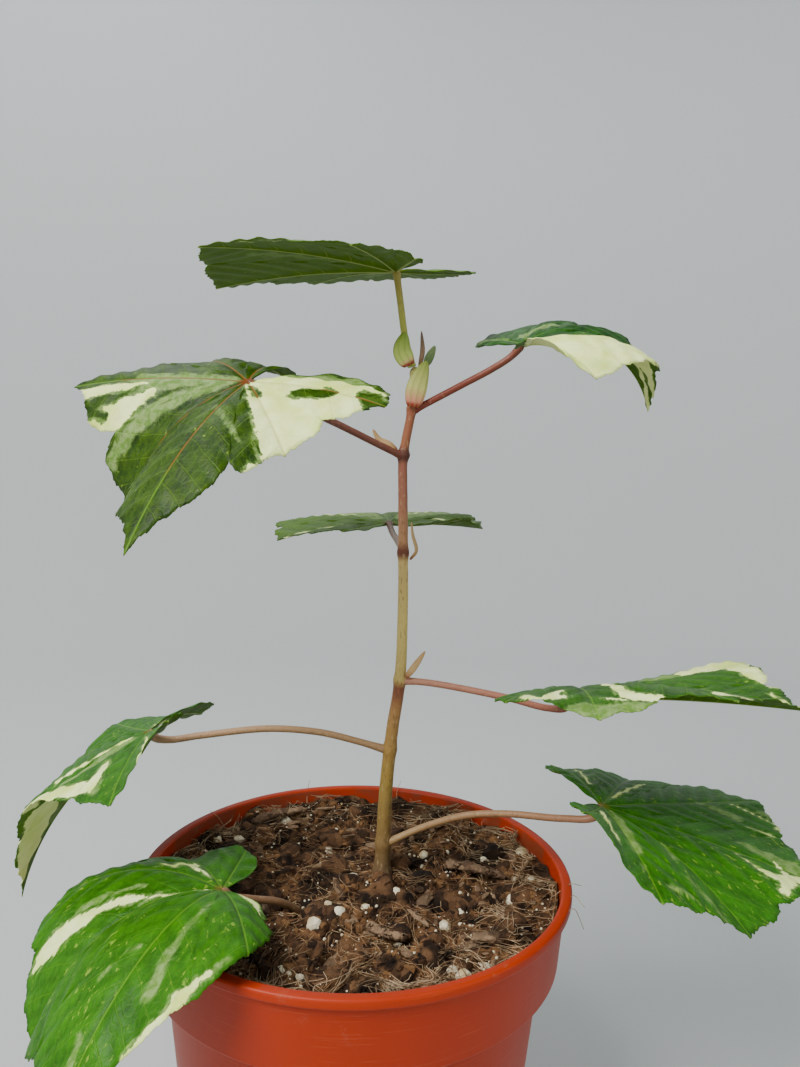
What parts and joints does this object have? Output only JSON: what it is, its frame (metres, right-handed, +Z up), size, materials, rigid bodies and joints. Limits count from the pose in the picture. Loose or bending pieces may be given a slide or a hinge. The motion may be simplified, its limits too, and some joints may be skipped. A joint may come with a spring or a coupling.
{
  "type": "potted hibiscus",
  "caption": "Young hibiscus shrub with one upright stem and lobed cream-and-green leaves on long stalks, growing in a round plastic pot filled with potting mix.",
  "frame": {"origin": "centre of the pot's flat underside", "axes": "+Z up along the pot's axis, +X to the right and +Y away as the plant is looked at, with the lowest leaf leaning out over the rim at -X -Y"},
  "size_m": [0.2292, 0.166, 0.2851],
  "materials": {
    "pot_plastic": "satin terracotta-orange plastic",
    "potting_mix": "crumbly dark brown peat and coconut fibre",
    "stem_bark": "dull olive and brown young bark",
    "leaf_stalk": "smooth dull skin",
    "leaf_blade": "satin leaf, dark green, mid green and cream",
    "green_scale": "satin yellow-green leaf scale",
    "dry_scale": "dry brown papery scale"
  },
  "bodies": {
    "root": {"pot": "pot_plastic", "soil": "potting_mix", "stem": "stem_bark", "leaf_1": "leaf_blade", "leaf_2": "leaf_blade", "leaf_3": "leaf_blade", "leaf_4": "leaf_blade", "leaf_5": "leaf_blade", "leaf_6": "leaf_blade", "leaf_7": "leaf_blade", "leaf_8": "leaf_blade", "stalk_1": "leaf_stalk", "stalk_2": "leaf_stalk", "stalk_3": "leaf_stalk", "stalk_4": "leaf_stalk", "stalk_5": "leaf_stalk", "stalk_6": "leaf_stalk", "stalk_7": "leaf_stalk", "stalk_8": "leaf_stalk", "tip_scale_left": "green_scale", "tip_leaflet": "green_scale", "sheath_scale": "green_scale", "tip_scale_brown": "dry_scale", "dry_scale_upper": "dry_scale", "dry_scale_middle": "dry_scale", "dry_scale_lower": "dry_scale"}
  },
  "joints": []
}
